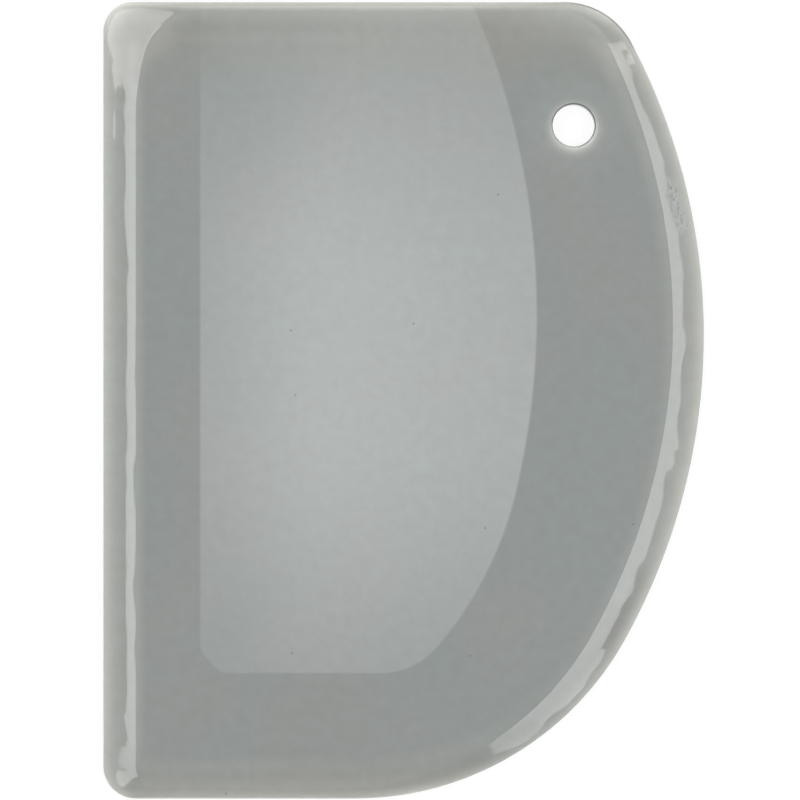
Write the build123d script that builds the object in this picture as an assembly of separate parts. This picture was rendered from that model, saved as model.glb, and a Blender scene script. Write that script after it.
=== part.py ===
from build123d import *
from math import asin, cos, pi, radians, sin, sqrt
import os

# Flexible bowl scraper: two silicone skins closed round a stiff core plate.
# It lies flat on its back face. +X runs from the straight blade to the bowl curve, +Y runs
# to the end with the hang hole, +Z is the thickness. The origin is the middle of the
# box round the part, on the rest face. Sizes are millimetres and turns are degrees.

# Overall
length = 160.0
width = 120.6
thickness = 4.5

# Silhouette. From the hang-hole end, the curved side is a corner arc, the long bowl arc and
# the belly arc. The radius of the long bowl arc follows from the length.
hole_end_corner_radius = 15.4
hole_end_corner_turn = 62.2
belly_radius = 62.0
belly_turn = 60.9
top_blade_corner_radius = 6.0
bottom_blade_corner_radius = 6.6

# Edges. Both blades thin down to the lip across their taper, on a slightly bowed slope.
# The two short ends are rolled to a full round.
lip_thickness = 0.9
straight_taper = 6.6
bowl_taper = 6.3
end_roll = 2.3
taper_bow_share = 0.35
section_shares = [0.0, 0.2, 0.4, 0.6, 0.8, 1.0]

# Outline of the flat face, where the tapers and the rolls end
face_hole_end_corner_radius = 14.4
face_hole_end_corner_turn = 64.8
face_belly_radius = 60.2
face_top_easing_radius = 50.0
face_top_easing_turn = 15.0
face_top_corner_radius = 11.0
face_bottom_corner_radius = 4.4

# Core plate
plate_thickness = 1.3
plate_from_straight = 19.5
plate_from_bowl = 33.6
plate_from_top = 0.8
plate_from_bottom = 25.3
plate_top_corner_radius = 0.8
plate_top_corner_turn = 66.8
plate_shoulder_radius = 74.7
plate_shoulder_turn = 27.2
plate_belly_radius = 14.9
plate_belly_turn = 49.6
plate_cut_corner_radius = 22.0
plate_cut_corner_turn = 13.0
plate_cut_end_radius = 2.0
plate_clearance = 0.05

# Hang hole
hole_diameter = 8.4
hole_from_bowl = 26.2
hole_from_top = 24.9
hole_mouth_radius = 0.5

# How far a cutter reaches past what it cuts
overrun = 1.0


def fall(radius, heading, turn):
    """How far an arc comes down, from a heading measured clockwise from +X."""
    return radius * (cos(radians(heading)) - cos(radians(heading + turn)))


def advance(radius, heading, turn):
    """How far an arc runs along +X."""
    return radius * (sin(radians(heading + turn)) - sin(radians(heading)))


def closed_arcs(drop, arcs):
    """The arcs with the one open radius worked out, so that the chain comes down by the drop."""
    heading = 0
    known_drop = 0
    for radius, turn in arcs:
        if radius is None:
            unit_drop = fall(1, heading, turn)
        else:
            known_drop += fall(radius, heading, turn)
        heading += turn
    closing_radius = (drop - known_drop) / unit_drop
    return [(closing_radius if radius is None else radius, turn) for radius, turn in arcs]


def reach(arcs):
    """How far the chain runs along +X up to its widest point."""
    heading = 0
    distance = 0
    for radius, turn in arcs:
        distance += advance(radius, heading, max(0, min(turn, 90 - heading)))
        heading += turn
    return distance


def arc_chain(start, heading, arcs):
    """Edges of a chain of tangent arcs that all turn clockwise."""
    edges = []
    point = Vector(*start)
    for radius, turn in arcs:
        direction = (cos(radians(heading)), -sin(radians(heading)))
        edges.append(JernArc(point, direction, radius, -turn))
        point = edges[-1] @ 1
        heading += turn
    return edges


def corner_run(arcs):
    """How far a corner of arcs reaches along the side that it starts from."""
    heading = 0
    run = 0
    for radius, turn in arcs:
        run += advance(radius, heading, turn)
        heading += turn
    return run


def d_face(left, right, bottom, top, bowl_arcs, bottom_arcs, top_arcs):
    """A D with its straight side at the left, two straight ends and the bowl curve at the right."""
    bowl_arcs = closed_arcs(top - bottom, bowl_arcs)
    bowl = arc_chain((right - reach(bowl_arcs), top), 0, bowl_arcs)
    bottom_corner = arc_chain((left + corner_run(bottom_arcs), bottom), 180, bottom_arcs)
    top_corner = arc_chain((left, top - corner_run(top_arcs)), 270, top_arcs)
    return make_face([
        *bowl,
        Line(bowl[-1] @ 1, bottom_corner[0] @ 0),
        *bottom_corner,
        Line(bottom_corner[-1] @ 1, top_corner[0] @ 0),
        *top_corner,
        Line(top_corner[-1] @ 1, bowl[0] @ 0),
    ])


def mixed(outer, inner, share):
    return outer + (inner - outer) * share


def body_face(side_share, end_share):
    """Slice of the body: the silhouette at shares of 0, the outline of the flat face at 1."""
    corner_turn = mixed(hole_end_corner_turn, face_hole_end_corner_turn, side_share)
    bowl_turn = 180 - corner_turn - belly_turn
    corner = mixed(hole_end_corner_radius, face_hole_end_corner_radius, side_share)
    belly = mixed(belly_radius, face_belly_radius, side_share)
    easing = mixed(top_blade_corner_radius, face_top_easing_radius, side_share)
    top_corner = mixed(top_blade_corner_radius, face_top_corner_radius, side_share)
    bottom_corner = mixed(bottom_blade_corner_radius, face_bottom_corner_radius, side_share)
    return d_face(
        -width / 2 + straight_taper * side_share,
        width / 2 - bowl_taper * side_share,
        -length / 2 + end_roll * end_share,
        length / 2 - end_roll * end_share,
        [(corner, corner_turn), (None, bowl_turn), (belly, belly_turn)],
        [(bottom_corner, 90)],
        [(easing, face_top_easing_turn), (top_corner, 90 - face_top_easing_turn)],
    )


def taper_share(rise_share):
    """Share of the taper's width that is covered at a share of its rise."""
    slope = 1 + taper_bow_share
    return (slope - sqrt(slope**2 - 4 * taper_bow_share * rise_share)) / (2 * taper_bow_share)


def skin_slices():
    """Slices of the upper half, from the parting plane up to the flat face."""
    half = thickness / 2
    lip_angle = asin(lip_thickness / thickness)
    slices = [Pos(0, 0, half) * body_face(0, 0)]
    for share in section_shares:
        angle = mixed(lip_angle, pi / 2, share)
        rise_share = (sin(angle) - sin(lip_angle)) / (1 - sin(lip_angle))
        section = body_face(taper_share(rise_share), 1 - cos(angle))
        slices.append(Pos(0, 0, half + half * sin(angle)) * section)
    return slices


def plate_face(clearance):
    """Outline of the core plate, grown by a clearance for its pocket."""
    bowl_turn = 180 - plate_top_corner_turn - plate_shoulder_turn - plate_belly_turn
    top_corner = plate_top_corner_radius + clearance
    cut_end = (plate_cut_end_radius + clearance, (90 - plate_cut_corner_turn) / 2)
    return d_face(
        -width / 2 + plate_from_straight - clearance,
        width / 2 - plate_from_bowl + clearance,
        -length / 2 + plate_from_bottom - clearance,
        length / 2 - plate_from_top + clearance,
        [
            (top_corner, plate_top_corner_turn),
            (None, bowl_turn),
            (plate_shoulder_radius + clearance, plate_shoulder_turn),
            (plate_belly_radius + clearance, plate_belly_turn),
        ],
        [cut_end, (plate_cut_corner_radius + clearance, plate_cut_corner_turn), cut_end],
        [(top_corner, 90)],
    )


def core_plate():
    """Stiff plate in the middle of the thickness."""
    bottom = thickness / 2 - plate_thickness / 2
    return Pos(0, 0, bottom) * extrude(plate_face(0), plate_thickness)


def plate_pocket():
    """Cutter for the plate's pocket in the upper skin, open at the parting plane."""
    bottom = thickness / 2 - overrun
    return Pos(0, 0, bottom) * extrude(plate_face(plate_clearance), overrun + plate_thickness / 2)


def hang_hole():
    """Cutter for the bore of the hang hole."""
    centre = (width / 2 - hole_from_bowl, length / 2 - hole_from_top, thickness / 2)
    return Pos(*centre) * Cylinder(hole_diameter / 2, thickness + overrun)


def front_skin():
    """Half of the body above the parting plane: lip, tapers, rolled ends and flat face."""
    silhouette, *slices = skin_slices()
    skin = loft([silhouette, slices[0]], ruled=True) + loft(slices)
    skin -= plate_pocket()
    skin -= hang_hole()
    mouth = skin.edges().filter_by(lambda edge: edge.is_closed).sort_by(Axis.Z)[-1]
    return fillet(mouth, hole_mouth_radius)


def back_skin(front):
    """The same skin on the other side of the parting plane."""
    return mirror(front, about=Plane.XY.offset(thickness / 2))


os.makedirs("parts", exist_ok=True)
front = front_skin()
nodes = {"front_skin": front, "back_skin": back_skin(front), "core_plate": core_plate()}
for name, piece in nodes.items():
    export_step(piece, f"parts/{name}.step")
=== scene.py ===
from math import cos, pi, radians, sin

import bpy
from bpy.props import FloatProperty, FloatVectorProperty, IntProperty, PointerProperty
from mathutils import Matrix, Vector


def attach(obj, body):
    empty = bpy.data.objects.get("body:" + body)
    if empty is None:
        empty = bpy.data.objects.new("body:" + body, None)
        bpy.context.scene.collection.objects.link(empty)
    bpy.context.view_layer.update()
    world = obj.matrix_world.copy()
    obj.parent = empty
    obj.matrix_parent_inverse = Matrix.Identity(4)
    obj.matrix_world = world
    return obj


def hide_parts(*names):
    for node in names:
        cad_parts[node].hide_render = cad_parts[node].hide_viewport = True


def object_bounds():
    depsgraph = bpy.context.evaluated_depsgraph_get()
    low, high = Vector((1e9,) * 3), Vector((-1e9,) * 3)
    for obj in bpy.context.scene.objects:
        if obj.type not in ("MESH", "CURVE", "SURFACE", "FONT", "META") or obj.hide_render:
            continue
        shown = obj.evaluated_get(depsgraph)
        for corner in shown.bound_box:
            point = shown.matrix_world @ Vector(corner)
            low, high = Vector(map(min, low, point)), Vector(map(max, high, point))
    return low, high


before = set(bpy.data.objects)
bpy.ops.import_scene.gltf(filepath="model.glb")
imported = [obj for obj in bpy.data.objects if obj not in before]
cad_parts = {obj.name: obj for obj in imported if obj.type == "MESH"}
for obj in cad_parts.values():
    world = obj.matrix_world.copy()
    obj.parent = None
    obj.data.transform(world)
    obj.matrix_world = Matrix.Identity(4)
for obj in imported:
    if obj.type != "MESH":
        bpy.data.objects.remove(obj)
cad_low, cad_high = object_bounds()

bl_info = {
    "name": "Bowl scraper",
    "version": (1, 0, 0),
    "blender": (4, 5, 0),
    "location": "3D View > Sidebar > Scraper",
    "description": "Dresses a bowl scraper: two moulded silicone skins over a stiff core plate",
    "category": "Object",
}


# Sizes and finishes

def metres(name, description, default):
    return FloatProperty(name=name, description=description, default=default, min=0, precision=5,
                         subtype="DISTANCE", unit="LENGTH")


def degrees(name, description, default):
    return FloatProperty(name=name, description=description, default=radians(default), min=0,
                         subtype="ANGLE", unit="ROTATION")


def share(name, description, default):
    return FloatProperty(name=name, description=description, default=default, min=0, max=1,
                         subtype="FACTOR")


def colour(name, description, default):
    return FloatVectorProperty(name=name, description=description, default=default, min=0, max=1,
                               size=3, subtype="COLOR")


def spot(name, description, default):
    return FloatVectorProperty(name=name, description=description, default=default, size=2,
                               subtype="XYZ_LENGTH", unit="LENGTH", precision=4)


def whole(name, description, default, least=1):
    return IntProperty(name=name, description=description, default=default, min=least)


class ScraperBodySizes(bpy.types.PropertyGroup):
    """Sizes of the moulded body"""
    length: metres("Length", "From the rolled end with the hang hole to the other one",
                   cad_high.y - cad_low.y)
    # Twice the nearer side, so that the skins stay inside the solids' box
    width: metres("Width", "From the straight blade to the widest place of the bowl curve",
                  2 * min(cad_high.x, -cad_low.x))
    thickness: metres("Thickness", "Both skins together", cad_high.z - cad_low.z)
    hole_end_radius: metres("Hole end corner", "Corner arc at the start of the bowl curve", 0.0154)
    hole_end_turn: degrees("Hole end turn", "How far that corner arc turns", 62.2)
    belly_radius: metres("Belly", "Last arc of the bowl curve", 0.062)
    belly_turn: degrees("Belly turn", "How far the belly arc turns", 60.9)
    top_blade_radius: metres("Top blade corner", "Straight blade at the hole end", 0.006)
    bottom_blade_radius: metres("Bottom blade corner", "Straight blade at the plain end", 0.0066)
    lip_thickness: metres("Lip thickness", "Outer edge of both blades", 0.0009)
    lip_rounding: metres("Lip rounding", "Rounding of the lip's edge", 0.00018)
    straight_taper: metres("Straight taper", "Width of the straight blade's taper", 0.0066)
    bowl_taper: metres("Bowl taper", "Width of the bowl blade's taper", 0.0063)
    end_roll: metres("End roll", "How far the rolled ends reach inwards", 0.0023)
    taper_bow: share("Taper bow", "How much the tapers bow outwards", 0.35)
    taper_waviness: metres("Taper waviness", "Height of the tapers' gentle waves", 0.00010)
    face_hole_end_radius: metres("Face hole end corner", "Flat face, start of the bowl curve",
                                 0.0144)
    face_hole_end_turn: degrees("Face hole end turn", "How far that arc of the flat face turns",
                                64.8)
    face_belly_radius: metres("Face belly", "Flat face, belly arc", 0.0602)
    face_easing_radius: metres("Face easing", "Flat face, easing into its top corner", 0.05)
    face_easing_turn: degrees("Face easing turn", "How far the easing turns", 15)
    face_top_radius: metres("Face top corner", "Flat face, top corner", 0.011)
    face_bottom_radius: metres("Face bottom corner", "Flat face, bottom corner", 0.0044)


class ScraperPlateSizes(bpy.types.PropertyGroup):
    """Sizes of the core plate"""
    thickness: metres("Thickness", "Of the plate", 0.0013)
    from_straight: metres("From straight blade", "Margin beside the plate", 0.0195)
    from_bowl: metres("From bowl curve", "Margin beside the plate", 0.0336)
    from_top: metres("From hole end", "Margin beyond the plate", 0.0008)
    from_bottom: metres("From plain end", "Margin beyond the plate", 0.0253)
    top_corner_radius: metres("Top corners", "Both corners at the hole end", 0.0008)
    top_corner_turn: degrees("Top corner turn", "The one nearest the hang hole", 66.8)
    shoulder_radius: metres("Shoulder", "Arc between the long side and the belly", 0.0747)
    shoulder_turn: degrees("Shoulder turn", "How far it turns", 27.2)
    belly_radius: metres("Belly", "Last arc of the curved side", 0.0149)
    belly_turn: degrees("Belly turn", "How far it turns", 49.6)
    cut_corner_radius: metres("Cut corner", "Nearly straight cut at the plain end", 0.022)
    cut_corner_turn: degrees("Cut corner turn", "How far the cut turns", 13)
    cut_end_radius: metres("Cut ends", "Where the cut meets both sides", 0.002)
    clearance: metres("Clearance", "Between the plate and its pocket", 0.00005)


class ScraperHoleSizes(bpy.types.PropertyGroup):
    """Sizes of the hang hole"""
    diameter: metres("Diameter", "Of the bore", 0.0084)
    from_bowl: metres("From bowl curve", "To the middle of the hole", 0.0262)
    from_top: metres("From hole end", "To the middle of the hole", 0.0249)
    mouth_radius: metres("Mouth rounding", "Where the bore meets the face", 0.0005)


class ScraperMeshSteps(bpy.types.PropertyGroup):
    """How finely the skins are divided"""
    lip_rings: whole("Lip rings", "Round the lip's edge", 5, 3)
    taper_rings: whole("Taper rings", "Across a taper", 26)
    face_rings: whole("Face rings", "From the taper to the hang hole", 84, 2)
    mouth_rings: whole("Mouth rings", "Round the hole's mouth", 8)
    crease_width: metres("Crease width", "Soft turn from the taper to the face", 0.0005)
    seed: whole("Seed", "Of the waves", 21, 0)


class ScraperSiliconeLook(bpy.types.PropertyGroup):
    """Finish of the silicone, with its painted light and shade"""
    grey: colour("Grey", "The silicone at its full thickness", (0.229, 0.245, 0.237))
    # The tint that all the painted light turns the grey towards
    painted_light_tint: colour("Thin tint", "What light through thin silicone turns it towards",
                      (0.79, 0.80, 0.73))
    plate_tint: colour("Plate tint", "What the plate turns it towards", (0.76, 0.80, 0.795))
    # Painted light where the lip is thin
    painted_thin_light: share("Thin paling", "How pale the thin lip gets", 0.38)
    # Painted light along the tapers
    painted_taper_glow: share("Taper glow", "Light that the lips pass on into the face", 0.08)
    # Painted light beside the rolled ends
    painted_end_glow: share("End glow", "Light that the rolled ends pass on into the face", 0.08)
    # A painted highlight at the corner by the hang hole
    corner_glow: share("Corner glow", "More of it at the corner by the hang hole", 0.12)
    # Painted light beside the straight blade's corner
    painted_blade_corner_glow: share("Blade corner glow", "More of it beside the straight blade", 0.09)
    # Painted light on the rolled ends' rims, stronger at the hole end, which faces the light
    painted_rim_light: share("Rim glow", "Light in the outermost part of the rolled ends", 0.30)
    rim_warmth: share("Rim warmth", "How much warmer the grey is near the outline", 0.65)
    rim_line: share("Rim line", "Dark line along the corner by the hang hole", 0.5)
    # Painted shade in the lower bowl blade
    lip_shade: share("Lip shade", "Darker place in the lower part of the bowl blade", 0.16)
    # Painted light round the bore, a painted dark line on its mouth and a painted glint on it
    painted_hole_glow: share("Hole glow", "Light that the bore passes on into the face", 0.37)
    painted_hole_halo: share("Hole halo", "Its faint rest further out", 0.03)
    hole_shade: share("Hole shade", "Dark line round the hole's mouth", 0.5)
    painted_hole_glint: share("Hole ring", "Thin bright arc on the mouth's lower right", 0.14)
    # The plate showing through, with its falloff by place painted light
    plate_paling: share("Plate paling", "How pale it is over the middle of the plate", 0.27)
    roughness: share("Roughness", "Of the moulded face", 0.03)
    mottling: share("Mottling", "How far the grey drifts between warm and cool", 0.5)
    fine_mottling: share("Fine mottling", "How much its level varies from place to place", 0.14)
    speck_share: share("Speck share", "How many dark specks there are", 0.12)
    scuff: spot("Scuff", "Middle of the scuffed place on the bowl blade", (0.0547, 0.0388))
    scuff_size: spot("Scuff size", "Half of its width and length", (0.0020, 0.0070))
    scuff_depth: metres("Scuff depth", "Of its fine scratches", 0.00010)
    ior: FloatProperty(name="IOR", description="Refraction of silicone", default=1.46, min=1, max=3)


class ScraperCoreLook(bpy.types.PropertyGroup):
    """Finish of the core plate"""
    tone: colour("Tone", "The bare moulding", (0.7, 0.72, 0.7))
    roughness: share("Roughness", "Of the moulding", 0.6)


class ScraperStage(bpy.types.PropertyGroup):
    """Camera, lamps and floor"""
    view_width: metres("View width", "What the picture spans", 0.16072)
    lens: FloatProperty(name="Lens", description="Focal length in millimetres", default=220, min=50)
    view_x: FloatProperty(name="View X", description="Middle of the picture", default=-0.00073,
                          precision=5, unit="LENGTH", subtype="DISTANCE")
    view_y: FloatProperty(name="View Y", description="Middle of the picture", default=0.00005,
                          precision=5, unit="LENGTH", subtype="DISTANCE")
    lamp_height: metres("Lamp height", "Of the two side lamps above the floor", 0.9)
    straight_lamp_radiance: FloatProperty(name="Straight lamp", description="1 is white",
                                          default=5.9, min=0)
    bowl_lamp_radiance: FloatProperty(name="Bowl lamp", description="1 is white", default=5.3,
                                      min=0)
    end_lamp_radiance: FloatProperty(name="End lamp", description="1 is white", default=1.7, min=0)
    room_level: share("Room level", "Soft light from all round", 0.087)
    floor_size: metres("Floor size", "Each side of the floor", 4.0)
    floor_gap: metres("Floor gap", "Hair's breadth between the floor and the piece on it", 0.00005)
    floor_shadow: share("Floor shadow", "How much of the floor's light can be shaded", 0.1)


# Outlines, as the solids have them

def fall(radius, heading, turn):
    """How far an arc comes down, from a heading measured clockwise from +X."""
    return radius * (cos(heading) - cos(heading + turn))


def advance(radius, heading, turn):
    """How far an arc runs along +X."""
    return radius * (sin(heading + turn) - sin(heading))


def closed_arcs(drop, arcs):
    """The arcs with the one open radius worked out, so that the chain comes down by the drop."""
    heading = 0
    known_drop = 0
    for radius, turn in arcs:
        if radius is None:
            unit_drop = fall(1, heading, turn)
        else:
            known_drop += fall(radius, heading, turn)
        heading += turn
    closing_radius = (drop - known_drop) / unit_drop
    return [(closing_radius if radius is None else radius, turn) for radius, turn in arcs]


def reach(arcs):
    """How far the chain runs along +X up to its widest point."""
    heading = 0
    distance = 0
    for radius, turn in arcs:
        distance += advance(radius, heading, max(0, min(turn, pi / 2 - heading)))
        heading += turn
    return distance


def trace(start, heading, arcs, steps):
    """Points along tangent arcs that turn clockwise, and the point where they end."""
    x, y = start
    points = []
    for (radius, turn), count in zip(arcs, steps):
        for step in range(count):
            part = turn * step / count
            points.append((x + advance(radius, heading, part), y - fall(radius, heading, part)))
        x += advance(radius, heading, turn)
        y -= fall(radius, heading, turn)
        heading += turn
    return points, (x, y)


def straight(start, end, count):
    """Points along a straight run, without its end."""
    return [tuple(a + (b - a) * step / count for a, b in zip(start, end)) for step in range(count)]


def corner_run(arcs):
    """How far a corner of arcs reaches along the side that it starts from."""
    heading = 0
    run = 0
    for radius, turn in arcs:
        run += advance(radius, heading, turn)
        heading += turn
    return run


def d_outline(left, right, bottom, top, bowl_arcs, bottom_arcs, top_arcs, steps):
    """Points clockwise round a D, from the start of its bowl curve."""
    bowl_steps, bottom_steps, bottom_corner_steps, side_steps, top_corner_steps, top_steps = steps
    bowl_arcs = closed_arcs(top - bottom, bowl_arcs)
    bowl_start = (right - reach(bowl_arcs), top)
    bowl, bowl_end = trace(bowl_start, 0, bowl_arcs, bowl_steps)
    bottom_start = (left + corner_run(bottom_arcs), bottom)
    bottom_corner, bottom_end = trace(bottom_start, pi, bottom_arcs, bottom_corner_steps)
    top_start = (left, top - corner_run(top_arcs))
    top_corner, top_end = trace(top_start, pi * 1.5, top_arcs, top_corner_steps)
    return [
        *bowl, *straight(bowl_end, bottom_start, bottom_steps),
        *bottom_corner, *straight(bottom_end, top_start, side_steps),
        *top_corner, *straight(top_end, bowl_start, top_steps),
    ]


# Points on the bowl arcs, the bottom, its corner, the straight side, its corner and the top
BODY_STEPS = ((36, 116, 60), 26, (22,), 124, (14, 22), 64)
PLATE_STEPS = ((6, 80, 30, 24), 20, (8, 10, 8), 80, (6,), 60)


def mixed(outer, inner, part):
    return outer + (inner - outer) * part


def body_outline(body, side, end):
    """The silhouette at shares of 0, the outline of the flat face at 1."""
    corner = mixed(body.hole_end_radius, body.face_hole_end_radius, side)
    belly = mixed(body.belly_radius, body.face_belly_radius, side)
    easing = mixed(body.top_blade_radius, body.face_easing_radius, side)
    top_corner = mixed(body.top_blade_radius, body.face_top_radius, side)
    bottom_corner = mixed(body.bottom_blade_radius, body.face_bottom_radius, side)
    corner_turn = mixed(body.hole_end_turn, body.face_hole_end_turn, side)
    bowl_turn = pi - corner_turn - body.belly_turn
    return d_outline(
        -body.width / 2 + body.straight_taper * side, body.width / 2 - body.bowl_taper * side,
        -body.length / 2 + body.end_roll * end, body.length / 2 - body.end_roll * end,
        [(corner, corner_turn), (None, bowl_turn), (belly, body.belly_turn)],
        [(bottom_corner, pi / 2)],
        [(easing, body.face_easing_turn), (top_corner, pi / 2 - body.face_easing_turn)],
        BODY_STEPS,
    )


def plate_outline(body, plate, clearance):
    """The core plate's outline, grown by a clearance for its pocket."""
    bowl_turn = pi - plate.top_corner_turn - plate.shoulder_turn - plate.belly_turn
    top_corner = plate.top_corner_radius + clearance
    cut = (plate.cut_corner_radius + clearance, plate.cut_corner_turn)
    cut_end = (plate.cut_end_radius + clearance, (pi / 2 - plate.cut_corner_turn) / 2)
    return d_outline(
        -body.width / 2 + plate.from_straight - clearance,
        body.width / 2 - plate.from_bowl + clearance,
        -body.length / 2 + plate.from_bottom - clearance,
        body.length / 2 - plate.from_top + clearance,
        [
            (top_corner, plate.top_corner_turn),
            (None, bowl_turn),
            (plate.shoulder_radius + clearance, plate.shoulder_turn),
            (plate.belly_radius + clearance, plate.belly_turn),
        ],
        [cut_end, cut, cut_end],
        [(top_corner, pi / 2)],
        PLATE_STEPS,
    )


def loop_object(name, points):
    """A closed flat loop for the geometry nodes to follow."""
    data = bpy.data.curves.new(name, "CURVE")
    data.dimensions = "3D"
    spline = data.splines.new("POLY")
    spline.points.add(len(points) - 1)
    for point, (x, y) in zip(spline.points, points):
        point.co = (x, y, 0, 1)
    spline.use_cyclic_u = True
    loop = bpy.data.objects.new(name, data)
    bpy.context.scene.collection.objects.link(loop)
    return loop


# Node trees

class Term:
    """An output of a node tree. Sums with it add Math nodes to the tree."""

    def __init__(self, tree, socket):
        self.tree = tree
        self.socket = socket

    def math(self, operation, *others):
        node = add(self.tree, "ShaderNodeMath", [self, *others], operation=operation)
        return Term(self.tree, node.outputs[0])

    def vector(self, operation, *others):
        node = add(self.tree, "ShaderNodeVectorMath", [self, *others], operation=operation)
        return Term(self.tree, node.outputs["Value" if operation == "LENGTH" else "Vector"])

    def scaled(self, size):
        node = add(self.tree, "ShaderNodeVectorMath", {0: self, "Scale": size}, operation="SCALE")
        return Term(self.tree, node.outputs["Vector"])

    def __add__(self, other):
        return self.math("ADD", other)

    def __sub__(self, other):
        return self.math("SUBTRACT", other)

    def __rsub__(self, other):
        return self * -1 + other

    def __mul__(self, other):
        return self.math("MULTIPLY", other)

    def __truediv__(self, other):
        return self.math("DIVIDE", other)

    def __rtruediv__(self, other):
        return self.math("POWER", -1.0) * other

    def clamped(self):
        node = add(self.tree, "ShaderNodeClamp", [self])
        return Term(self.tree, node.outputs[0])


def add(tree, kind, inputs=(), **settings):
    """A new node with its settings, and its inputs linked or set."""
    node = tree.nodes.new(kind)
    for name, value in settings.items():
        setattr(node, name, value)
    for place, value in (inputs.items() if isinstance(inputs, dict) else enumerate(inputs)):
        if isinstance(value, Term):
            tree.links.new(value.socket, node.inputs[place])
        elif value is not None:
            node.inputs[place].default_value = value
    return node


def out(tree, kind, inputs=(), output=0, **settings):
    """One output of a new node."""
    return Term(tree, add(tree, kind, inputs, **settings).outputs[output])


def arrange(tree):
    """Sets the nodes out in columns, each one left of what it feeds."""
    depth = {}

    def place(node):
        if node.name not in depth:
            fed = [link.to_node for link in tree.links if link.from_node == node]
            depth[node.name] = 1 + max([place(other) for other in fed], default=-1)
        return depth[node.name]

    rows = {}
    for node in tree.nodes:
        column = place(node)
        node.location = (-220 * column, -180 * rows.get(column, 0))
        rows[column] = rows.get(column, 0) + 1


def skin_inputs(body, plate, hole, steps):
    """The named inputs of the skin's tree, each with its kind and value."""
    return {
        "Silhouette": ("NodeSocketObject", None),
        "Side Edge": ("NodeSocketObject", None),
        "Face Edge": ("NodeSocketObject", None),
        "Plate Outline": ("NodeSocketObject", None),
        "Pocket Outline": ("NodeSocketObject", None),
        "Thickness": ("NodeSocketFloat", body.thickness),
        "Lip Thickness": ("NodeSocketFloat", body.lip_thickness),
        "Lip Rounding": ("NodeSocketFloat", body.lip_rounding),
        "Taper Bow": ("NodeSocketFloat", body.taper_bow),
        "Taper Waviness": ("NodeSocketFloat", body.taper_waviness),
        "Crease Width": ("NodeSocketFloat", steps.crease_width),
        "Hole Centre": ("NodeSocketVector", (body.width / 2 - hole.from_bowl,
                                             body.length / 2 - hole.from_top, 0)),
        "Hole Radius": ("NodeSocketFloat", hole.diameter / 2),
        "Mouth Radius": ("NodeSocketFloat", hole.mouth_radius),
        "Pocket Depth": ("NodeSocketFloat", plate.thickness / 2),
        "Loop Points": ("NodeSocketInt", 1),
        "Lip Rings": ("NodeSocketInt", steps.lip_rings),
        "Taper Rings": ("NodeSocketInt", steps.taper_rings),
        "Face Rings": ("NodeSocketInt", steps.face_rings),
        "Mouth Rings": ("NodeSocketInt", steps.mouth_rings),
        "Seed": ("NodeSocketInt", steps.seed),
        "Side": ("NodeSocketFloat", 1.0),
        "Finish": ("NodeSocketMaterial", None),
    }


# Places closer than this are one point, and a turn past this angle stays a sharp edge
MERGE_DISTANCE = 1e-6
SHARP_TURN = radians(40)
# A place this close to the plate's area lies on it
ON_PLATE = 2e-5
# The waves: how fine they are, how much higher on the bowl side, and what brings them to their
# height, as the noise spans half either way and the fade is a quarter at most
WAVE_SCALE = 90.0
BOWL_WAVE_EXTRA = 0.8
WAVE_LEVELLING = 8


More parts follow.
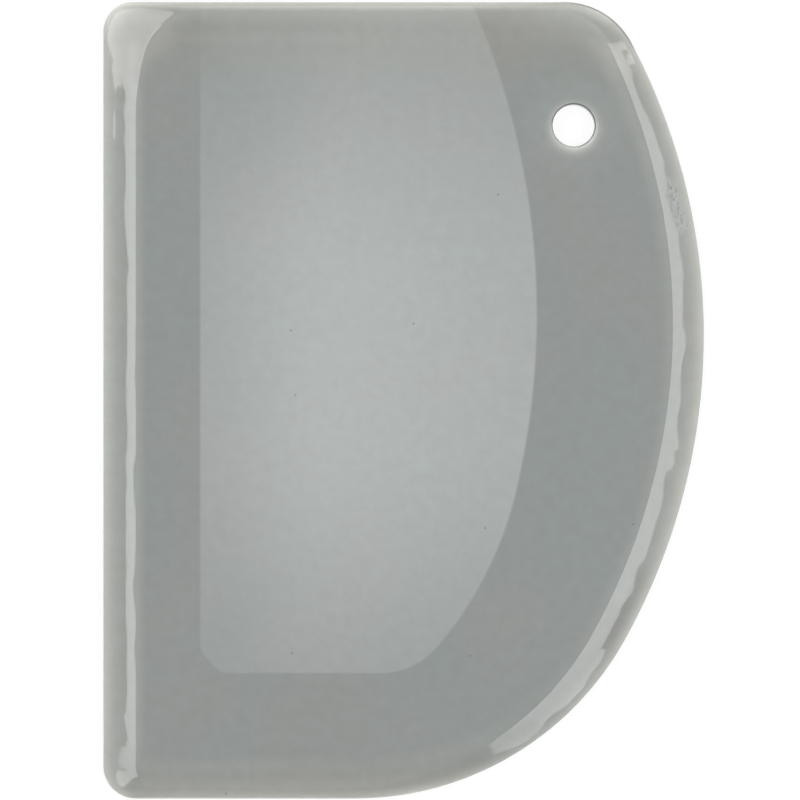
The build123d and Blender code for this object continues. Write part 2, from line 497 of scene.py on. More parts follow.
def skin_tree(inputs):
    """One skin, wrapped ring by ring from the parting plane over the lip, the taper and the face,
    down the hang hole and back to the parting plane, with the plate's pocket in its inside.
    """
    tree = bpy.data.node_groups.new("Scraper skin", "GeometryNodeTree")
    for name, (kind, value) in inputs.items():
        socket = tree.interface.new_socket(name=name, in_out="INPUT", socket_type=kind)
        if value is not None:
            socket.default_value = value
    tree.interface.new_socket(name="Skin", in_out="OUTPUT", socket_type="NodeSocketGeometry")
    given = tree.nodes.new("NodeGroupInput")
    size = {name: Term(tree, given.outputs[name]) for name in inputs}

    # Each vertex of a plain grid has a place along the outline and a ring across it
    ring_count = size["Lip Rings"] + size["Taper Rings"] + size["Face Rings"] + size["Mouth Rings"]
    rows = ring_count + 2
    grid = out(tree, "GeometryNodeMeshGrid", [1, 1, size["Loop Points"] + 1, rows])
    number = out(tree, "GeometryNodeInputIndex")
    column = (number / rows).math("FLOOR")
    ring = number - column * rows
    place = column.math("FLOORED_MODULO", size["Loop Points"])
    position = out(tree, "GeometryNodeInputPosition")

    def loop(name):
        return out(tree, "GeometryNodeObjectInfo", [size[name]], "Geometry")

    def loop_point(name):
        return out(tree, "GeometryNodeSampleIndex",
                   {"Geometry": loop(name), "Value": position, "Index": place},
                   data_type="FLOAT_VECTOR", domain="POINT")

    silhouette, side_edge, face_edge = map(loop_point, ("Silhouette", "Side Edge", "Face Edge"))

    # Across the lip and the taper: share of the taper covered, share of the end roll, height
    half = size["Thickness"] / 2
    lip_rise = size["Lip Thickness"] / size["Thickness"]
    lip_angle = lip_rise.math("ARCSINE")
    first = 0.5 / size["Taper Rings"]
    taper_part = ((ring - size["Lip Rings"]) / size["Taper Rings"]).clamped()
    angle = lip_angle + (pi / 2 - lip_angle) * (first + (1 - first) * taper_part)
    rise = (angle.math("SINE") - lip_rise) / (1 - lip_rise)
    slope = size["Taper Bow"] + 1
    root = (slope * slope - size["Taper Bow"] * rise * 4).math("SQRT")
    taper_share = (slope - root) / (size["Taper Bow"] * 2)
    roll_share = 1 - angle.math("COSINE")
    lip_part = ((ring - 1) / (size["Lip Rings"] - 1)).clamped()
    wall_part = (1 - lip_part) * (1 - lip_part)
    corner_part = (1 - lip_part) * lip_part * 2
    slope_part = lip_part * lip_part
    off_plane = ring.math("MINIMUM", 1)
    lip_height = size["Lip Thickness"] / 2
    side = slope_part * taper_share
    end = slope_part * roll_share + corner_part * (1 - lip_angle.math("COSINE"))
    height = off_plane * (
        slope_part * half * angle.math("SINE")
        + corner_part * lip_height
        + wall_part * (lip_height - size["Lip Rounding"])
    )

    # From the crease straight to the hang hole, over its mouth and down to the parting plane
    to_edge = face_edge.vector("SUBTRACT", size["Hole Centre"])
    outward = to_edge.vector("NORMALIZE")
    mouth_edge = size["Hole Radius"] + size["Mouth Radius"]
    span = to_edge.vector("LENGTH") - mouth_edge
    face_ring = (ring - size["Lip Rings"] - size["Taper Rings"]).math("MAXIMUM", 0)
    face_ring = face_ring.math("MINIMUM", size["Face Rings"])
    near = size["Crease Width"] * face_ring.math("MINIMUM", 1)
    far = (face_ring - 1).math("MAXIMUM", 0) / (size["Face Rings"] - 1)
    face_run = near + (span - size["Crease Width"]) * far
    mouth_ring = ring - size["Lip Rings"] - size["Taper Rings"] - size["Face Rings"]
    mouth_angle = (mouth_ring / size["Mouth Rings"]).clamped() * (pi / 2)
    mouth_run = size["Mouth Radius"] * mouth_angle.math("SINE")
    mouth_drop = size["Mouth Radius"] * (1 - mouth_angle.math("COSINE"))
    in_bore = (ring - ring_count).clamped()
    height = (height - mouth_drop) * (1 - in_bore)

    # Gentle waves that fade out at the lip and at the crease
    inset = side_edge.vector("SUBTRACT", silhouette).scaled(side)
    around = silhouette.vector("ADD", inset)
    waves = out(tree, "ShaderNodeTexNoise",
                {"Vector": around, "W": size["Seed"], "Scale": WAVE_SCALE, "Detail": 1.0},
                noise_dimensions="4D")
    on_bowl_side = out(tree, "ShaderNodeSeparateXYZ", [around], "X").math("GREATER_THAN", 0.0)
    wave_height = size["Taper Waviness"] * (on_bowl_side * BOWL_WAVE_EXTRA + 1)
    height = height + (waves - 0.5) * wave_height * side * (1 - side) * WAVE_LEVELLING

    level = half + height * size["Side"]
    rolled = face_edge.vector("SUBTRACT", side_edge).scaled(end)
    surface = around.vector("ADD", rolled)
    surface = surface.vector("SUBTRACT", outward.scaled(face_run + mouth_run))
    lift = out(tree, "ShaderNodeCombineXYZ", [0.0, 0.0, level])
    outside = out(tree, "GeometryNodeSetPosition",
                  {"Geometry": grid, "Position": surface.vector("ADD", lift)})

    # The parting plane, with the bore left open and the pocket sunk into it
    from_hole = position.vector("SUBTRACT", size["Hole Centre"]).vector("NORMALIZE")
    on_bore = size["Hole Centre"].vector("ADD", from_hole.scaled(size["Hole Radius"]))
    bore_loop = out(tree, "GeometryNodeSetPosition",
                    {"Geometry": loop("Face Edge"), "Position": on_bore})
    loops = joined(tree, loop("Silhouette"), bore_loop, loop("Pocket Outline"))
    land = out(tree, "GeometryNodeFillCurve", {"Curve": loops}, mode="TRIANGLES")
    pocket = out(tree, "GeometryNodeFillCurve", {"Curve": loop("Pocket Outline")}, mode="TRIANGLES")
    is_pocket = out(tree, "GeometryNodeStoreNamedAttribute",
                    {"Geometry": pocket, "Name": "pocket", "Value": True},
                    data_type="BOOLEAN", domain="FACE")
    plane = out(tree, "GeometryNodeMergeByDistance",
                {"Geometry": joined(tree, land, is_pocket), "Distance": MERGE_DISTANCE})
    chosen = out(tree, "GeometryNodeInputNamedAttribute", {"Name": "pocket"}, data_type="BOOLEAN")
    depth = out(tree, "ShaderNodeCombineXYZ", [0.0, 0.0, size["Pocket Depth"] * size["Side"]])
    sunk = out(tree, "GeometryNodeExtrudeMesh",
               {"Mesh": plane, "Selection": chosen, "Offset": depth, "Offset Scale": 1.0,
                "Individual": False}, mode="FACES")
    middle = out(tree, "ShaderNodeCombineXYZ", [0.0, 0.0, half])
    inside = out(tree, "GeometryNodeSetPosition", {"Geometry": sunk, "Offset": middle})

    # One closed shell, with its faces outwards and its square edges sharp
    shell = out(tree, "GeometryNodeMergeByDistance",
                {"Geometry": joined(tree, outside, inside), "Distance": MERGE_DISTANCE})
    upper = size["Side"].math("GREATER_THAN", 0)
    shell = out(tree, "GeometryNodeFlipFaces", {"Mesh": shell, "Selection": upper})
    turn = out(tree, "GeometryNodeInputMeshEdgeAngle")
    square = turn.math("GREATER_THAN", SHARP_TURN)
    shell = out(tree, "GeometryNodeSetShadeSmooth",
                {"Geometry": shell, "Selection": square, "Shade Smooth": False}, domain="EDGE")

    # How far each place is from the silhouette, and outside the plate
    flat = position.vector("MULTIPLY", (1.0, 1.0, 0.0))

    def gap(target, element):
        return out(tree, "GeometryNodeProximity", {0: target, "Source Position": flat},
                   "Distance", target_element=element)

    rim = out(tree, "GeometryNodeCurveToMesh", {"Curve": loop("Silhouette")})
    plate_rim = out(tree, "GeometryNodeCurveToMesh", {"Curve": loop("Plate Outline")})
    plate_area = out(tree, "GeometryNodeFillCurve", {"Curve": loop("Plate Outline")},
                     mode="TRIANGLES")
    within = gap(plate_area, "FACES").math("LESS_THAN", ON_PLATE)
    plate_gap = gap(plate_rim, "EDGES") * (1 - within * 2)
    for name, value in (("edge_gap", gap(rim, "EDGES")), ("plate_gap", plate_gap)):
        shell = out(tree, "GeometryNodeStoreNamedAttribute",
                    {"Geometry": shell, "Name": name, "Value": value},
                    data_type="FLOAT", domain="POINT")

    shell = out(tree, "GeometryNodeRealizeInstances", {"Geometry": shell})
    shell = out(tree, "GeometryNodeSetMaterial", {"Geometry": shell, "Material": size["Finish"]})
    add(tree, "NodeGroupOutput", {"Skin": shell})
    arrange(tree)
    return tree


def joined(tree, *parts):
    """Several geometries as one."""
    node = tree.nodes.new("GeometryNodeJoinGeometry")
    for part in parts:
        tree.links.new(part.socket, node.inputs[0])
    return Term(tree, node.outputs[0])


def plain_mesh(name, tree, values):
    """The tree's result as a mesh object of its own."""
    maker = bpy.data.objects.new(name + "_maker", bpy.data.meshes.new(name + "_maker"))
    bpy.context.scene.collection.objects.link(maker)
    modifier = maker.modifiers.new("Skin", "NODES")
    modifier.node_group = tree
    for item in tree.interface.items_tree:
        if item.in_out == "INPUT" and item.name in values:
            modifier[item.identifier] = values[item.name]
    bpy.context.view_layer.update()
    graph = bpy.context.evaluated_depsgraph_get()
    mesh = bpy.data.meshes.new_from_object(maker.evaluated_get(graph))
    maker.modifiers.remove(modifier)
    bpy.data.objects.remove(maker)
    if not mesh.polygons:
        raise RuntimeError(f"{name} came out empty")
    mesh.name = name
    piece = bpy.data.objects.new(name, mesh)
    bpy.context.scene.collection.objects.link(piece)
    return piece


# Finishes

def attribute(tree, name):
    return out(tree, "ShaderNodeAttribute", output="Fac", attribute_name=name)


def stepped(value, start, end, low=0.0, high=1.0):
    """Eases from low to high as the value goes from start to end."""
    return out(value.tree, "ShaderNodeMapRange", [value, start, end, low, high],
               interpolation_type="SMOOTHSTEP")


def blended(part, first, second):
    """The first colour, turned into the second by a share."""
    node = part.tree.nodes.new("ShaderNodeMix")
    node.data_type = "RGBA"
    part.tree.links.new(part.socket, node.inputs["Factor"])
    for place, value in ((6, first), (7, second)):
        if isinstance(value, Term):
            part.tree.links.new(value.socket, node.inputs[place])
        else:
            node.inputs[place].default_value = (*value, 1)
    return Term(part.tree, node.outputs[2])


def new_material(name):
    material = bpy.data.materials.new(name)
    material.use_nodes = True
    tree = material.node_tree
    return material, tree, tree.nodes["Principled BSDF"]


def tuned(base, gains):
    """A colour with each channel scaled."""
    return [channel * gain for channel, gain in zip(base, gains)]


# Where the silicone's paler and darker places start and end, in metres. They are placed to follow
# the light in the main view, so they don't move when a size is changed.
SPANS = {
    # Inwards from the outline
    "inner glow": (0.0040, 0.0065),
    "taper glow": (0.0055, 0.0092),
    "end glow": (0.0012, 0.006),
    "corner glow": (0.0030, 0.0105),
    "rim glow": (0.0002, 0.0023),
    "rim line": (0.0002, 0.0005),
    "lip shade, outer side": (0.0003, 0.0025),
    "lip shade, inner side": (0.0032, 0.0046),
    "rim warmth": (0.003, 0.009),
    # Along X
    "bowl half": (-0.03, 0.03),
    "hole corner, across": (0.012, 0.042),
    "rim line, across": (0.028, 0.037),
    "plate, straight side": (-0.045, -0.015),
    "plate, bowl side": (-0.015, 0.0314),
    "plate corner, across": (-0.040, -0.032),
    # Along Y
    "taper glow, hole end": (0.0685, 0.0745),
    "taper glow, plain end": (-0.078, -0.066),
    "taper glow, belly": (-0.062, -0.035),
    "hole corner, along": (0.062, 0.071),
    "rim glow, hole end": (0.071, 0.079),
    "rim glow, plain end": (-0.079, -0.071),
    "rim line, along": (0.0695, 0.0730),
    "plate corner, along": (0.058, 0.072),
    "warmth, hole end": (0.060, 0.073),
    "warmth, plain end": (-0.077, -0.069),
    # Outwards from a middle
    "end glow, both ends": (0.071, 0.077),
    "rim glow, along the plain end": (0.022, 0.036),
    "lip shade, along the blade": (0.003, 0.014),
    "blade corner glow": (0.0125, 0.0180),
    "hole halo": (0.006, 0.012),
    "plate, along": (0.012, 0.074),
}
# Middles of the last group, along X or Y
PLAIN_END_MIDDLE = -0.024
LIP_SHADE_MIDDLE = -0.043
PLATE_MIDDLE = 0.008
# The plate's pale zone leans over from here on towards the hole end
LEAN_START = 0.030
LEAN = -0.2
# The painted light round the bore: how far its middle is moved from the bore's, how far it reaches
# and how fast it falls off
HOLE_GLOW_SHIFT = (0.00008, -0.00055)
HOLE_GLOW_REACH = 0.0028
HOLE_GLOW_FALL = 2.8
# How fast the painted light through thin silicone falls off as it gets thicker
THIN_FALL = 2.1
# What turns the grey warmer or cooler, the dark tone of the painted shade and the dark line, and
# that of dust
WARMER = (1.04, 0.985, 0.975)
COOLER = (0.96, 1.015, 1.025)
WARMEST = (1.075, 1.0, 0.94)
SHADE = (0.02, 0.02, 0.02)
DUST = (0.05, 0.05, 0.05)


def silicone(look, body, hole):
    """Grey silicone that looks slightly clear. It is opaque, and its colour carries that look, with
    painted light, painted highlights and glints, and painted shade.
    """
    material, tree, shader = new_material("silicone")
    place = out(tree, "ShaderNodeTexCoord", output="Object")
    x, y, z = (out(tree, "ShaderNodeSeparateXYZ", [place], name) for name in "XYZ")
    edge_gap = attribute(tree, "edge_gap")

    def zone(value, name, low=0.0, high=1.0):
        return stepped(value, *SPANS[name], low, high)

    def off(value, middle):
        return (value - middle).math("ABSOLUTE")

    # Painted light where the silicone is thin, standing in for light shining through it
    depth = off(z, body.thickness / 2) * 2
    thin = ((body.thickness - depth) / (body.thickness - body.lip_thickness)).clamped()
    painted_thin_light = thin.math("POWER", THIN_FALL) * look.painted_thin_light

    # Painted light a little way into the face, along the tapers, at the rolled ends and at the
    # corners
    bowl_half = zone(x, "bowl half")
    painted_inner_glow = zone(edge_gap, "inner glow") * (1 - bowl_half * 0.6) * 0.55
    painted_taper_glow = zone(edge_gap, "taper glow", look.painted_taper_glow, 0.0)
    painted_taper_glow = painted_taper_glow * (painted_inner_glow + bowl_half * 0.33 + 0.45)
    painted_taper_glow = painted_taper_glow * zone(y, "taper glow, hole end", 1.0, 0.0)
    painted_taper_glow = painted_taper_glow * zone(y, "taper glow, plain end")
    belly = zone(y, "taper glow, belly", 0.8, 0.0)
    painted_taper_glow = painted_taper_glow * (1.5 - (belly + 0.5) * bowl_half)
    # A painted highlight at the corner by the hang hole
    hole_corner = zone(x, "hole corner, across") * zone(y, "hole corner, along")
    corner_glow = zone(edge_gap, "corner glow", look.corner_glow, 0.0) * hole_corner
    painted_end_glow = zone(edge_gap, "end glow", look.painted_end_glow, 0.0)
    painted_end_glow = painted_end_glow * zone(y.math("ABSOLUTE"), "end glow, both ends")
    painted_end_glow = painted_end_glow + corner_glow * stepped(thin, 0.0, 0.2, 1.0, 0.25)
    # Painted light on the rims of the rolled ends, stronger at the hole end, which faces the light
    plain_end = zone(y, "rim glow, plain end", 0.9, 0.0)
    from_middle = off(x, PLAIN_END_MIDDLE)
    plain_end = plain_end * zone(from_middle, "rim glow, along the plain end", 1.0, 0.3)
    painted_rim_light = zone(edge_gap, "rim glow", look.painted_rim_light, 0.0)
    painted_rim_light = painted_rim_light * (plain_end + zone(y, "rim glow, hole end", 0.0, 0.7))
    painted_rim_light = painted_rim_light * (1 - hole_corner * 0.7)

    # Darker line at the corner by the hang hole, and painted shade in the lower bowl blade
    rim_line = zone(edge_gap, "rim line", look.rim_line, 0.0)
    rim_line = rim_line * zone(x, "rim line, across") * zone(y, "rim line, along")
    # Painted shade where the lower bowl blade faces away from the light
    lip_shade = zone(edge_gap, "lip shade, outer side")
    lip_shade = lip_shade * zone(edge_gap, "lip shade, inner side", 1.0, 0.0)
    shaded_run = zone(off(y, LIP_SHADE_MIDDLE), "lip shade, along the blade", 1.0, 0.0)
    lip_shade = lip_shade * shaded_run * bowl_half * look.lip_shade

    def gap_to(spot_x, spot_y):
        return ((x - spot_x) * (x - spot_x) + (y - spot_y) * (y - spot_y)).math("SQRT")

    # Painted light round the bore, brightest on the side away from the hole end, and at the blade's
    # corner
    bore = hole.diameter / 2
    centre = (body.width / 2 - hole.from_bowl, body.length / 2 - hole.from_top)
    from_corner = gap_to(-body.width / 2, body.length / 2)
    painted_corner_light = zone(from_corner, "blade corner glow", look.painted_blade_corner_glow, 0.0)
    painted_corner_light = painted_corner_light * stepped(thin, 0.0, 0.02, 1.0, 0.0)
    from_hole = gap_to(*centre)
    halo = zone(from_hole, "hole halo", look.painted_hole_halo, 0.0)
    from_glow = gap_to(centre[0] + HOLE_GLOW_SHIFT[0], centre[1] + HOLE_GLOW_SHIFT[1])
    near_bore = (1 - (from_glow - bore) / HOLE_GLOW_REACH).clamped()
    painted_hole_glow = near_bore.math("POWER", HOLE_GLOW_FALL) * look.painted_hole_glow
    # Painted shade: a dark line round the mouth, darkest towards the hole end
    lit_side = ((x - centre[0]) * 0.5 + (y - centre[1]) * 0.85) / from_hole
    hole_shade = stepped(from_hole, bore + 0.00012, bore + 0.0004, look.hole_shade, 0.0)
    hole_shade = hole_shade * (lit_side * 0.35 + 1)
    # A painted glint: a thin bright arc on the mouth's rounding, on its lower right
    glint_gap = off(from_hole - bore, 0.0006)
    glint_side = (x - centre[0] - (y - centre[1])) / from_hole
    ring = stepped(glint_gap, 0.0, 0.0003, look.painted_hole_glint, 0.0) * stepped(glint_side, 0.6, 1.4)

    # Paler over the plate, where the core shows through, and strongest a little off its middle. The
    # skin there has one thickness, so this falls off by place alone, and that falloff is painted
    # light
    plate = stepped(attribute(tree, "plate_gap"), -0.0003, 0.0003, 1.0, 0.0)
    slant = (y - LEAN_START).math("MAXIMUM", 0.0) * LEAN + x
    plate = plate * zone(slant, "plate, straight side", 0.5, 1.0)
    plate = plate * zone(slant, "plate, bowl side", 1.0, 0.72)
    plate = plate * zone(off(y, PLATE_MIDDLE), "plate, along", 1.0, 0.36)
    plate_corner = zone(x, "plate corner, across", 0.5, 0.0) * zone(y, "plate corner, along")
    plate = plate * (1 - plate_corner)
    cloud = out(tree, "ShaderNodeTexNoise", {"Vector": place, "Scale": 60.0, "Detail": 3.0})
    over_plate = plate * look.plate_paling + (cloud - 0.5) * 0.02

    # The grey drifts between warm and cool, is warmest near the outline, and takes on the plate and
    # all the painted light and shade above
    drift = out(tree, "ShaderNodeTexNoise", {"Vector": place, "Scale": 38.0, "Detail": 2.0})
    fine = out(tree, "ShaderNodeTexNoise", {"Vector": place, "Scale": 420.0, "Detail": 3.0}) - 0.5
    drift = (stepped(drift, 0.35, 0.65) + fine - 0.5) * look.mottling + 0.5
    near_rim = zone(y, "warmth, hole end") + zone(y, "warmth, plain end", 0.5, 0.0)
    near_rim = near_rim + zone(edge_gap, "rim warmth", 0.5, 0.0)
    near_rim = near_rim.clamped() * look.rim_warmth
    tint = blended(drift, tuned(look.grey, WARMER), tuned(look.grey, COOLER))
    tint = blended(near_rim, tint, tuned(look.grey, WARMEST))
    tint = blended(over_plate.clamped(), tint, look.plate_tint)
    # All the painted light, turning the grey towards its tint
    glow = painted_thin_light + painted_taper_glow + painted_end_glow + painted_rim_light + painted_hole_glow + halo + ring + painted_corner_light
    tint = blended(glow.clamped(), tint, look.painted_light_tint)
    tint = tint.scaled(fine * look.fine_mottling + 1)
    tint = blended((hole_shade + rim_line + lip_shade).clamped(), tint, SHADE)

    # Dark specks of dust, and fine scratches where the bowl blade is scuffed
    cells = add(tree, "ShaderNodeTexVoronoi", {"Vector": place, "Scale": 75.0},
                voronoi_dimensions="2D")
    distance, chance = (Term(tree, cells.outputs[name]) for name in ("Distance", "Color"))
    speck = stepped(distance, 0.008, 0.024, 0.4, 0.0)
    speck = speck * chance.math("LESS_THAN", look.speck_share + 0.1)
    scuff_x = (x - look.scuff[0] + (y - look.scuff[1]) * 0.3) / look.scuff_size[0]
    scuff_y = (y - look.scuff[1]) / look.scuff_size[1]
    scuffed = stepped((scuff_x * scuff_x + scuff_y * scuff_y).math("SQRT"), 0.5, 1.0, 1.0, 0.0)
    slim = out(tree, "ShaderNodeMapping", {"Vector": place, "Scale": (1.0, 0.45, 1.0),
                                           "Rotation": (0.0, 0.0, radians(-22))})
    scratches = out(tree, "ShaderNodeTexNoise", {"Vector": slim, "Scale": 2500.0, "Detail": 4.0})
    nicks = stepped(scratches, 0.35, 0.45, 0.4, 0.0) * scuffed
    tint = blended((speck + nicks).clamped(), tint, DUST)
    bump = out(tree, "ShaderNodeBump", {"Height": (scratches - 0.5) * scuffed, "Strength": 1.0,
                                        "Distance": look.scuff_depth})
    tree.links.new(bump.socket, shader.inputs["Normal"])
    tree.links.new(tint.socket, shader.inputs["Base Color"])
    shader.inputs["Roughness"].default_value = look.roughness
    shader.inputs["IOR"].default_value = look.ior
    arrange(tree)
    return material


def moulded_plate(look):
    """Matt moulding with a fine grain."""
    material, tree, shader = new_material("core")
    place = out(tree, "ShaderNodeTexCoord", output="Object")
    grain = out(tree, "ShaderNodeTexNoise", {"Vector": place, "Scale": 900.0, "Detail": 4.0})
    tone = blended(stepped(grain, 0.3, 0.7), [channel * 0.96 for channel in look.tone], look.tone)
    tree.links.new(tone.socket, shader.inputs["Base Color"])
    bump = out(tree, "ShaderNodeBump", {"Height": grain, "Strength": 0.2, "Distance": 0.0002})
    tree.links.new(bump.socket, shader.inputs["Normal"])
    shader.inputs["Roughness"].default_value = look.roughness
    arrange(tree)
    return material


# Operators

class SCRAPER_OT_skins(bpy.types.Operator):
    """Makes the two silicone skins and sets them in place of the plain solids"""
    bl_idname = "scraper.skins"
    bl_label = "Make the silicone skins"

    def execute(self, context):
        scene = context.scene
        body, plate, hole = scene.scraper_body, scene.scraper_plate, scene.scraper_hole
        loops = {
            "Silhouette": loop_object("silhouette", body_outline(body, 0, 0)),
            "Side Edge": loop_object("side_edge", body_outline(body, 1, 0)),
            "Face Edge": loop_object("face_edge", body_outline(body, 1, 1)),
            "Plate Outline": loop_object("plate_outline", plate_outline(body, plate, 0)),
            "Pocket Outline": loop_object("pocket_outline",
                                          plate_outline(body, plate, plate.clearance)),
        }
        inputs = skin_inputs(body, plate, hole, scene.scraper_steps)
        tree = skin_tree(inputs)
        values = {name: value for name, (kind, value) in inputs.items() if value is not None}
        values |= loops
        values["Loop Points"] = len(body_outline(body, 0, 0))
        values["Finish"] = silicone(scene.scraper_silicone, body, hole)
        for name, side in (("front", 1.0), ("back", -1.0)):
            skin = plain_mesh(f"silicone_{name}", tree, values | {"Side": side})
            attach(skin, "root")
            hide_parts(f"{name}_skin")
        for loop in loops.values():
            bpy.data.objects.remove(loop)
        return {"FINISHED"}


class SCRAPER_OT_core(bpy.types.Operator):
    """Gives the core plate its finish"""
    bl_idname = "scraper.core"
    bl_label = "Finish the core plate"

    def execute(self, context):
        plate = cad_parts["core_plate"]
        plate.data.materials.clear()
        plate.data.materials.append(moulded_plate(context.scene.scraper_core))
        return {"FINISHED"}


# Outlines of the side lamps, seen from above in metres. They are not plain lamps: each is drawn
# so that its blade shows the highlight of the main view
STRAIGHT_LAMP = (
    (-0.10, -0.155), (-0.15, -0.138), (-0.38, -0.132), (-0.43, -0.118), (-0.45, -0.06),
    (-0.45, -0.02), (-0.42, 0.04), (-0.38, 0.07), (-0.34, 0.11), (-0.16, 0.13), (-0.12, 0.17),
    (-0.19, 0.26), (-0.20, 0.42), (-0.27, 0.58), (-0.42, 0.74), (-0.51, 0.56), (-0.545, 0.38),
    (-0.60, 0.24), (-0.73, 0.165), (-0.762, 0.160), (-0.765, 0.150), (-0.775, 0.141),
    (-0.755, 0.131), (-0.738, 0.121), (-0.722, 0.127), (-0.705, 0.133), (-0.650, 0.133),
    (-0.638, 0.136), (-0.621, 0.147), (-0.604, 0.136), (-0.596, 0.122), (-0.572, 0.116),
    (-0.556, 0.04),
    (-0.552, 0.00), (-0.552, -0.036), (-0.558, -0.068), (-0.568, -0.095), (-0.556, -0.114),
    (-0.556, -0.130), (-0.590, -0.1345), (-0.675, -0.1365), (-0.675, -0.1408),
    (-0.595, -0.1415), (-0.546, -0.150), (-0.546, -0.162),
    (-0.67, -0.167), (-0.70, -0.205), (-0.86, -0.74), (-0.76, -0.74), (-0.48, -0.31),
)
BOWL_LAMP = (
    (0.30, -0.02), (0.28, 0.20), (0.38, 0.36), (0.60, 0.46), (1.05, 0.76), (1.15, 0.67),
    (0.82, 0.500), (0.785, 0.450), (0.705, 0.42), (0.69, 0.392), (0.705, 0.36), (0.705, 0.335),
    (0.68, 0.31), (0.665, 0.292), (0.69, 0.281), (0.75, 0.24), (0.705, 0.22), (0.684, 0.162),
    (0.65, 0.10),
    (0.612, 0.03), (0.58, -0.03), (0.567, -0.045), (0.60, -0.13), (0.64, -0.15), (0.58, -0.193),
    (0.53, -0.21), (0.56, -0.25), (0.56, -0.31), (0.59, -0.35), (0.535, -0.385), (0.67, -0.44),
    (0.69, -0.55), (0.70, -0.69), (0.72, -0.90), (0.84, -1.22), (0.68, -1.16), (0.50, -0.90),
    (0.235, -0.46), (0.10, -0.19),
)
# How each lamp fades: weights of x and y, where it starts and ends, share that is left
STRAIGHT_FADES = ((1.0, 1.0, 0.10, 0.26, 0.7), (0.0, -1.0, 0.05, 0.16, 0.9))
BOWL_FADES = ((-0.6, 1.0, 0.02, 0.06, 0.8), (-1.2, -1.0, 0.04, 0.13, 0.8))
# The soft lamp beyond the hole end
END_LAMP_PLACE = (0, 1.3, 0.55)
END_LAMP_SIZE = (2, 1)
END_LAMP_TILT = (-radians(67), 0, 0)
WHITE = (1, 1, 1, 1)
FLOOR_GREY = (0.8, 0.8, 0.8, 1)
# The floor gives off its own white light, less this much of the grey that can be shaded
GREY_TAKEN_OFF = 0.9
# How far the camera sees, in metres
SIGHT = 50


def shaped_lamp(name, outline, height, radiance, fades):
    """A flat lamp with an outline of its own, as bright as the radiance, where 1 is white."""
    mesh = bpy.data.meshes.new(name)
    mesh.from_pydata([(x, y, height) for x, y in outline], [], [tuple(range(len(outline)))])
    lamp = bpy.data.objects.new(name, mesh)
    lamp.visible_camera = False
    bpy.context.scene.collection.objects.link(lamp)
    material = bpy.data.materials.new(name)
    material.use_nodes = True
    material.node_tree.nodes.clear()
    tree = material.node_tree
    place = out(tree, "ShaderNodeTexCoord", output="Object")
    x, y = (out(tree, "ShaderNodeSeparateXYZ", [place], name) for name in "XY")
    strength = radiance
    for across, along, start, end, rest in fades:
        strength = stepped(x * across + y * along, start, end, 1.0, rest) * strength
    add(tree, "ShaderNodeOutputMaterial",
        {"Surface": out(tree, "ShaderNodeEmission", [WHITE, strength])})
    arrange(tree)
    mesh.materials.append(material)


def area_lamp(name, place, size, radiance, tilt):
    """A soft rectangular lamp whose face is as bright as the radiance, where 1 is white."""
    data = bpy.data.lights.new(name, "AREA")
    data.shape = "RECTANGLE"
    data.size, data.size_y = size
    data.energy = radiance * pi * size[0] * size[1]
    lamp = bpy.data.objects.new(name, data)
    lamp.location = place
    lamp.rotation_euler = tilt
    lamp.visible_camera = False
    bpy.context.scene.collection.objects.link(lamp)


def seen_directly(tree):
    """1 for what the camera, a reflection or a clear piece shows, 0 for plain lighting."""
    path = tree.nodes.new("ShaderNodeLightPath")
    camera, glossy, clear = (Term(tree, path.outputs[name]) for name in
                             ("Is Camera Ray", "Is Glossy Ray", "Is Transmission Ray"))
    return camera.math("MAXIMUM", glossy).math("MAXIMUM", clear)


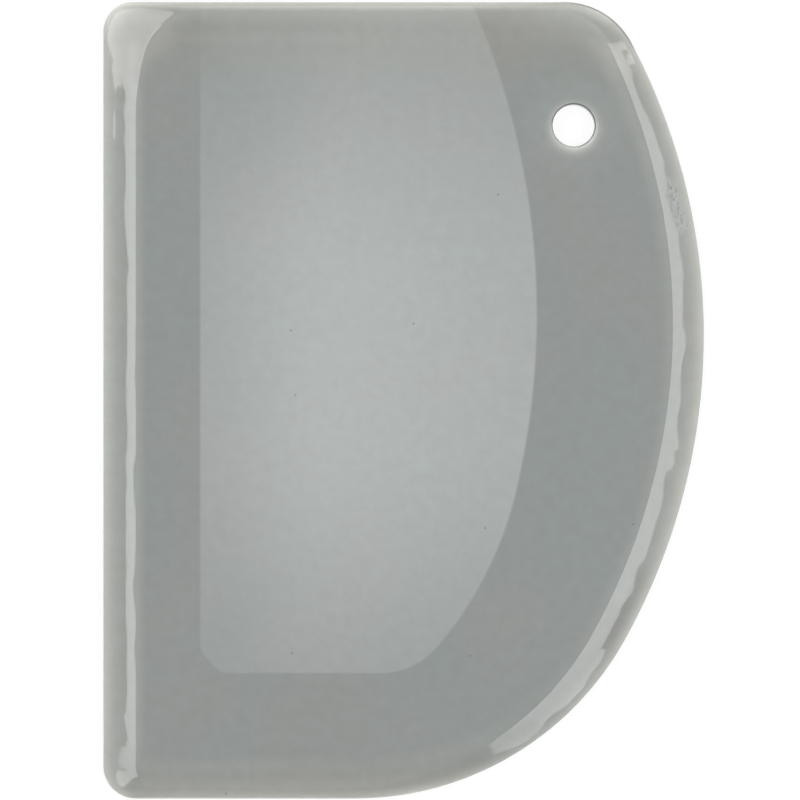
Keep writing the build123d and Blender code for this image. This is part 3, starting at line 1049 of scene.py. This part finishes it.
class SCRAPER_OT_stage(bpy.types.Operator):
    """Sets up the floor, the room light, the lamps and the camera"""
    bl_idname = "scraper.stage"
    bl_label = "Set the stage"

    def execute(self, context):
        scene = context.scene
        setup, body = scene.scraper_stage, scene.scraper_body
        scene.view_settings.view_transform = "Standard"

        side = setup.floor_size / 2
        corners = [(-side, -side), (side, -side), (side, side), (-side, side)]
        mesh = bpy.data.meshes.new("floor")
        mesh.from_pydata([(x, y, -setup.floor_gap) for x, y in corners], [], [(0, 1, 2, 3)])
        floor = bpy.data.objects.new("floor", mesh)
        scene.collection.objects.link(floor)
        material = bpy.data.materials.new("floor")
        material.use_nodes = True
        tree = material.node_tree
        tree.nodes.clear()
        matt = out(tree, "ShaderNodeBsdfDiffuse", [FLOOR_GREY])
        shaded = out(tree, "ShaderNodeBsdfDiffuse", [(setup.floor_shadow,) * 3 + (1,)])
        own_light = 1 - setup.floor_shadow * GREY_TAKEN_OFF
        white = out(tree, "ShaderNodeEmission", [WHITE, own_light])
        lit = out(tree, "ShaderNodeAddShader", [shaded, white])
        shown = out(tree, "ShaderNodeMixShader", [seen_directly(tree), matt, lit])
        add(tree, "ShaderNodeOutputMaterial", {"Surface": shown})
        arrange(tree)
        mesh.materials.append(material)

        world = bpy.data.worlds.new("room")
        world.use_nodes = True
        tree = world.node_tree
        tree.nodes.clear()
        room = out(tree, "ShaderNodeBackground", [WHITE, setup.room_level])
        backdrop = out(tree, "ShaderNodeBackground", [WHITE, 1.0])
        shown = out(tree, "ShaderNodeMixShader", [seen_directly(tree), room, backdrop])
        add(tree, "ShaderNodeOutputWorld", {"Surface": shown})
        arrange(tree)
        scene.world = world

        shaped_lamp("straight_lamp", STRAIGHT_LAMP, setup.lamp_height,
                    setup.straight_lamp_radiance, STRAIGHT_FADES)
        shaped_lamp("bowl_lamp", BOWL_LAMP, setup.lamp_height, setup.bowl_lamp_radiance,
                    BOWL_FADES)
        area_lamp("end_lamp", END_LAMP_PLACE, END_LAMP_SIZE, setup.end_lamp_radiance,
                  END_LAMP_TILT)

        data = bpy.data.cameras.new("camera")
        data.lens = setup.lens
        camera = bpy.data.objects.new("camera", data)
        distance = setup.view_width * data.lens / data.sensor_width
        camera.location = (setup.view_x, setup.view_y, body.thickness / 2 + distance)
        data.clip_end = SIGHT
        scene.collection.objects.link(camera)
        scene.camera = camera
        return {"FINISHED"}


class SCRAPER_PT_panel(bpy.types.Panel):
    """Lists the scraper's pieces and their sizes"""
    bl_idname = "SCRAPER_PT_panel"
    bl_label = "Bowl scraper"
    bl_space_type = "VIEW_3D"
    bl_region_type = "UI"
    bl_category = "Scraper"

    def draw(self, context):
        for name, operator, groups in PIECES:
            box = self.layout.box()
            box.operator(operator, text=name)
            for group in groups:
                settings = getattr(context.scene, group)
                for key in settings.bl_rna.properties.keys():
                    if key not in ("rna_type", "name"):
                        box.prop(settings, key)


PIECES = (
    ("Silicone skins", "scraper.skins",
     ("scraper_body", "scraper_plate", "scraper_hole", "scraper_steps", "scraper_silicone")),
    ("Core plate", "scraper.core", ("scraper_core",)),
    ("Stage", "scraper.stage", ("scraper_stage",)),
)
SETTINGS = {
    "scraper_body": ScraperBodySizes,
    "scraper_plate": ScraperPlateSizes,
    "scraper_hole": ScraperHoleSizes,
    "scraper_steps": ScraperMeshSteps,
    "scraper_silicone": ScraperSiliconeLook,
    "scraper_core": ScraperCoreLook,
    "scraper_stage": ScraperStage,
}
CLASSES = (*SETTINGS.values(), SCRAPER_OT_skins, SCRAPER_OT_core, SCRAPER_OT_stage,
           SCRAPER_PT_panel)


def register():
    for cls in CLASSES:
        bpy.utils.register_class(cls)
    for name, group in SETTINGS.items():
        setattr(bpy.types.Scene, name, PointerProperty(type=group))


def unregister():
    for name in SETTINGS:
        delattr(bpy.types.Scene, name)
    for cls in reversed(CLASSES):
        bpy.utils.unregister_class(cls)


def main():
    register()
    bpy.ops.scraper.skins()
    bpy.ops.scraper.core()
    bpy.ops.scraper.stage()


if __name__ == "__main__":
    main()
